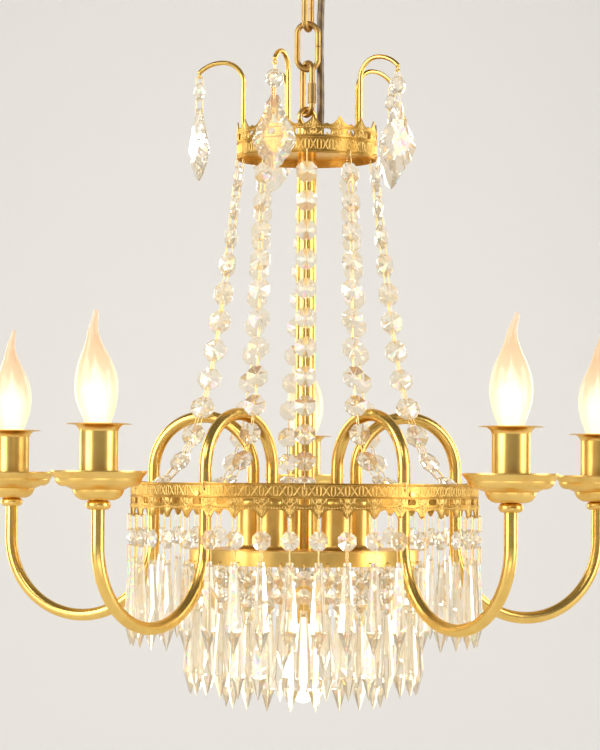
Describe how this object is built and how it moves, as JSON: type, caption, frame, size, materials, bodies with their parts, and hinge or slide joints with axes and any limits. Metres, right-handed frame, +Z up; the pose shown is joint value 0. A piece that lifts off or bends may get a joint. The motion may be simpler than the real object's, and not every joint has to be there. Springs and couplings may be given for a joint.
{
  "type": "crystal chandelier",
  "caption": "Crystal chandelier with candle arms, a pierced main ring, a crown, bead strands and prism drops, hung on a chain from a ceiling canopy.",
  "frame": {"origin": "middle of the two ceiling screws, on the top face of the ceiling bracket", "axes": "+Z up, towards the ceiling; -Y is the side the picture shows; +X is that side's right"},
  "size_m": [0.6012, 0.5757, 0.7017],
  "materials": {
    "antique_brass": "satin, lightly antiqued",
    "steel": "zinc plated",
    "crystal": "cut and polished",
    "wire": "bright",
    "bulb_glass": "clear, lit",
    "holder_plastic": "matt",
    "grommet_rubber": "matt",
    "cord_sheath": "translucent gold"
  },
  "bodies": {
    "ceiling": {"ceiling_bracket": "steel", "ceiling_tube": "steel", "bracket_nut": "steel", "canopy": "antique_brass", "canopy_loop": "antique_brass", "terminal_block": "holder_plastic", "cord_grommet": "grommet_rubber"},
    "upper_link": {"chain_link_upper": "antique_brass", "power_cord": "cord_sheath"},
    "fixture": {"chain_link_lower": "antique_brass", "quick_link": "antique_brass", "top_eye": "antique_brass", "crown_plate": "antique_brass", "crown_gallery": "antique_brass", "crown_hooks": "antique_brass", "hook_nuts": "antique_brass", "central_rod": "antique_brass", "tie_tube": "steel", "drum": "antique_brass", "drum_cover": "antique_brass", "inner_ring": "antique_brass", "base_cups": "antique_brass", "arm_1": "antique_brass", "arm_2": "antique_brass", "arm_3": "antique_brass", "arm_4": "antique_brass", "arm_5": "antique_brass", "arm_collars": "antique_brass", "drip_pans": "antique_brass", "candle_seats": "antique_brass", "candle_covers": "antique_brass", "lamp_holders": "holder_plastic", "centre_lamp_cup": "antique_brass", "tube_nuts": "steel", "ring_gallery": "antique_brass", "ring_fixings": "antique_brass", "strand_octagons": "crystal", "strand_links": "wire", "drop_octagons": "crystal", "ring_prisms": "crystal", "drum_prisms": "crystal", "inner_prisms": "crystal", "drop_links": "wire"},
    "sleeve": {"quick_link_sleeve": "antique_brass"},
    "pendant_1": {"pendant_crystals_1": "crystal", "pendant_links_1": "wire"},
    "pendant_2": {"pendant_crystals_2": "crystal", "pendant_links_2": "wire"},
    "pendant_3": {"pendant_crystals_3": "crystal", "pendant_links_3": "wire"},
    "pendant_4": {"pendant_crystals_4": "crystal", "pendant_links_4": "wire"},
    "pendant_5": {"pendant_crystals_5": "crystal", "pendant_links_5": "wire"},
    "bulb_1": {"candle_bulb_1": "bulb_glass"},
    "bulb_2": {"candle_bulb_2": "bulb_glass"},
    "bulb_3": {"candle_bulb_3": "bulb_glass"},
    "bulb_4": {"candle_bulb_4": "bulb_glass"},
    "bulb_5": {"candle_bulb_5": "bulb_glass"},
    "centre_bulb": {"centre_bulb": "bulb_glass"}
  },
  "joints": [
    {"name": "sway_upper", "type": "hinge", "parent": "ceiling", "child": "upper_link", "pos_m": [0, 0, -0.07955], "axis": [0.9455, -0.3256, 0], "range_deg": [-12, 12]},
    {"name": "sway_lower", "type": "hinge", "parent": "upper_link", "child": "fixture", "pos_m": [0, 0, -0.1144], "axis": [0.3256, 0.9455, 0], "range_deg": [-12, 12], "deforming": ["power_cord"]},
    {"name": "sleeve_slide", "type": "slide", "parent": "fixture", "child": "sleeve", "axis": [0, 0, 1], "range_m": [0, 0.0115]},
    {"name": "pendant_swing_1", "type": "hinge", "parent": "fixture", "child": "pendant_1", "pos_m": [-0.09375, -0.00164, -0.15685], "axis": [-0.8829, -0.4695, 0], "range_deg": [-25, 25]},
    {"name": "pendant_swing_2", "type": "hinge", "parent": "fixture", "child": "pendant_2", "pos_m": [-0.02741, -0.08966, -0.15685], "axis": [-0.2419, -0.9703, 0], "range_deg": [-25, 25]},
    {"name": "pendant_swing_3", "type": "hinge", "parent": "fixture", "child": "pendant_3", "pos_m": [0.0768, -0.05378, -0.15685], "axis": [0.5592, -0.829, 0], "range_deg": [-25, 25]},
    {"name": "pendant_swing_4", "type": "hinge", "parent": "fixture", "child": "pendant_4", "pos_m": [0.07488, 0.05643, -0.15685], "axis": [0.766, 0.6428, 0], "range_deg": [-25, 25]},
    {"name": "pendant_swing_5", "type": "hinge", "parent": "fixture", "child": "pendant_5", "pos_m": [-0.03053, 0.08865, -0.15685], "axis": [-0.2756, 0.9613, 0], "range_deg": [-25, 25]},
    {"name": "bulb_lift_1", "type": "slide", "parent": "fixture", "child": "bulb_1", "axis": [0, 0, 1], "range_m": [0, 0.03]},
    {"name": "bulb_lift_2", "type": "slide", "parent": "fixture", "child": "bulb_2", "axis": [0, 0, 1], "range_m": [0, 0.03]},
    {"name": "bulb_lift_3", "type": "slide", "parent": "fixture", "child": "bulb_3", "axis": [0, 0, 1], "range_m": [0, 0.03]},
    {"name": "bulb_lift_4", "type": "slide", "parent": "fixture", "child": "bulb_4", "axis": [0, 0, 1], "range_m": [0, 0.03]},
    {"name": "bulb_lift_5", "type": "slide", "parent": "fixture", "child": "bulb_5", "axis": [0, 0, 1], "range_m": [0, 0.03]},
    {"name": "centre_bulb_drop", "type": "slide", "parent": "fixture", "child": "centre_bulb", "axis": [0, 0, -1], "range_m": [0, 0.03]}
  ]
}
